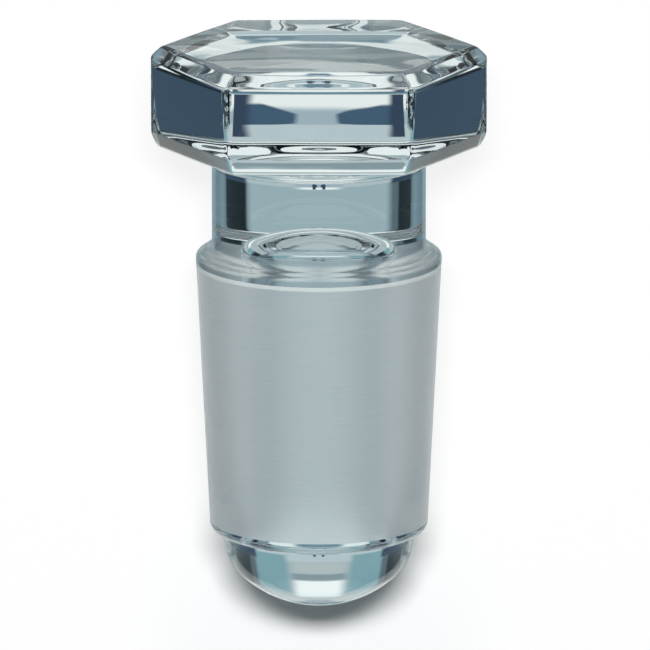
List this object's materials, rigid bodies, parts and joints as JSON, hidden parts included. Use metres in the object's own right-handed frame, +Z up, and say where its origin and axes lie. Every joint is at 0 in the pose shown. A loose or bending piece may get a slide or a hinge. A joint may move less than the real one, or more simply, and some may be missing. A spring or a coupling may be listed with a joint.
{
  "type": "ground glass stopper",
  "caption": "Clear glass stopper with a hexagonal head, a smooth neck and a frosted ground cone that seals a conical neck.",
  "frame": {"origin": "on the ground, under the middle of the box of the stopper as it lies at rest", "axes": "+X along the lying stopper towards its head, its own axis rising 4.5 degrees from +X in the XZ plane; +Z up"},
  "size_m": [0.0692, 0.0398, 0.0346],
  "materials": {
    "glass": "clear and polished on the head, neck and tip, finely ground on the cone"
  },
  "bodies": {
    "root": {"stopper": "glass"}
  },
  "joints": []
}
